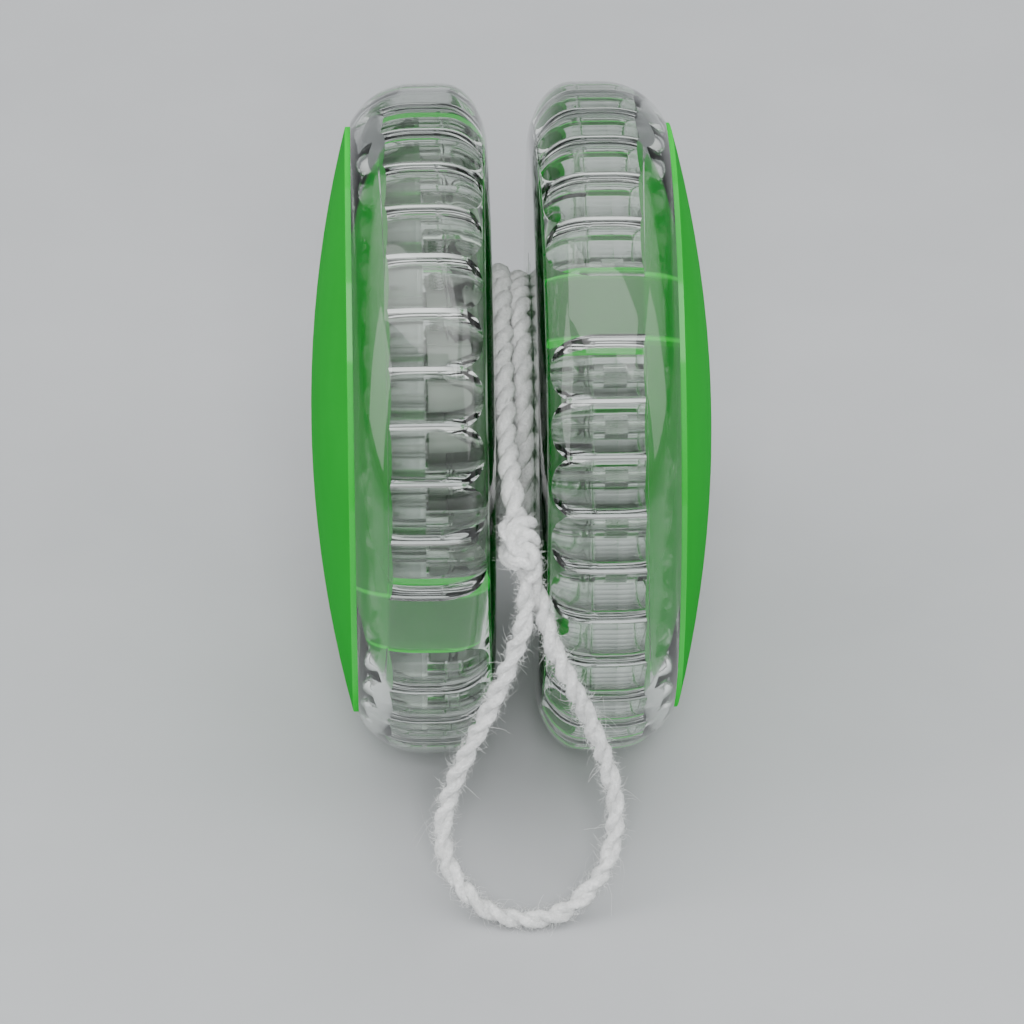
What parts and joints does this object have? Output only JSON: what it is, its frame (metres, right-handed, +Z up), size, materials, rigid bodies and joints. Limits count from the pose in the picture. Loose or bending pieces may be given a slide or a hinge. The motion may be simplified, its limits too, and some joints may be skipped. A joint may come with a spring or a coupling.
{
  "type": "yo yo",
  "caption": "Clutch yo-yo with fluted clear rims, domed translucent side caps, a wound string and a finger loop.",
  "frame": {"origin": "middle of the axle, half way between the two gap faces", "axes": "+X along the axle from the clutch half to the half that unscrews, +Y away from the side where the string hangs, +Z up"},
  "size_m": [0.034, 0.0635, 0.057],
  "materials": {
    "clear_shell": "clear polished polycarbonate",
    "clear_plate": "clear moulded plastic",
    "green_cap": "translucent fluorescent plastic",
    "white_plastic": "moulded acetal",
    "steel": "bright plated",
    "cotton_string": "twisted cotton"
  },
  "bodies": {
    "string": {"spool": "white_plastic", "string_winding": "cotton_string", "string_lead": "cotton_string", "string_knot": "cotton_string", "finger_loop": "cotton_string"},
    "left_half": {"left_rim_shell": "clear_shell", "left_cap": "green_cap", "axle": "steel", "left_nut": "steel", "left_thrust_washer": "steel", "clutch_cover": "clear_plate", "cover_screws": "steel", "upper_clutch_spring": "steel", "lower_clutch_spring": "steel"},
    "upper_arm": {"upper_clutch_arm": "white_plastic", "upper_clutch_ball": "steel"},
    "lower_arm": {"lower_clutch_arm": "white_plastic", "lower_clutch_ball": "steel"},
    "right_washer": {"right_thrust_washer": "steel"},
    "right_half": {"right_rim_shell": "clear_shell", "right_cap": "green_cap", "right_nut": "steel"}
  },
  "joints": [
    {"name": "spin", "type": "hinge", "parent": "string", "child": "left_half", "pos_m": [0, 0, 0], "axis": [1, 0, 0], "continuous": true},
    {"name": "upper_arm_pivot", "type": "hinge", "parent": "left_half", "child": "upper_arm", "pos_m": [-0.0054, 0.012, 0.002], "axis": [-1, 0, 0], "range_deg": [0, 5], "stiffness_Nm_per_rad": 0.08, "springref_deg": -3.44, "deforming": ["upper_clutch_spring"]},
    {"name": "lower_arm_pivot", "type": "hinge", "parent": "left_half", "child": "lower_arm", "pos_m": [-0.0054, -0.012, -0.002], "axis": [-1, 0, 0], "range_deg": [0, 5], "stiffness_Nm_per_rad": 0.08, "springref_deg": -3.44, "deforming": ["lower_clutch_spring"]},
    {"name": "right_half_unscrew", "type": "hinge", "parent": "left_half", "child": "right_washer", "pos_m": [0, 0, 0], "axis": [1, 0, 0], "range_deg": [0, 2520]},
    {"name": "right_half_travel", "type": "slide", "parent": "right_washer", "child": "right_half", "axis": [1, 0, 0], "range_m": [0, 0.005]}
  ],
  "couplings": [
    {"joint": "lower_arm_pivot", "follows": "upper_arm_pivot", "ratio": 1},
    {"joint": "right_half_travel", "follows": "right_half_unscrew", "m_per_rad": 0.00011141}
  ]
}
